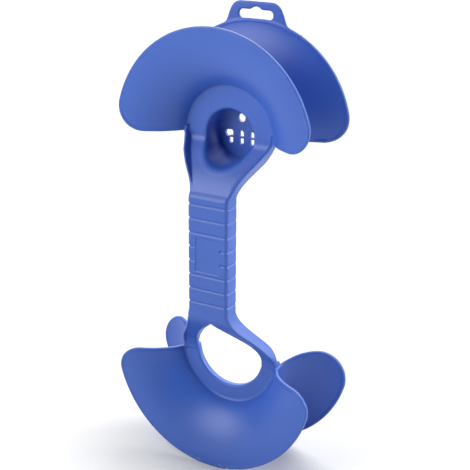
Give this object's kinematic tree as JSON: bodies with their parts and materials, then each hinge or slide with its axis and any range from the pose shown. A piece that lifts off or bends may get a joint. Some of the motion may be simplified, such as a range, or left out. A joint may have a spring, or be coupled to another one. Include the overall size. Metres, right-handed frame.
{
  "type": "sock aid",
  "caption": "Moulded plastic sock aid: a grooved flat grip between two half-spool heads with flared flanges, a hang tab and a ring opening.",
  "frame": {"origin": "centre of the whole object's box", "axes": "+Z along the grip from the larger ringed head to the smaller head with the hang tab, -Y out of the grip's front, X across"},
  "size_m": [0.1802, 0.0746, 0.3778],
  "materials": {
    "blue_plastic": "satin"
  },
  "bodies": {
    "root": {"grip": "blue_plastic", "neck": "blue_plastic", "upper_web": "blue_plastic", "cup_wall": "blue_plastic", "strainer_floor": "blue_plastic", "upper_front_flange": "blue_plastic", "upper_rear_flange": "blue_plastic", "hang_tab": "blue_plastic", "left_arm": "blue_plastic", "right_arm": "blue_plastic", "lower_ring": "blue_plastic", "lower_front_flange": "blue_plastic", "lower_rear_flange": "blue_plastic"}
  },
  "joints": []
}
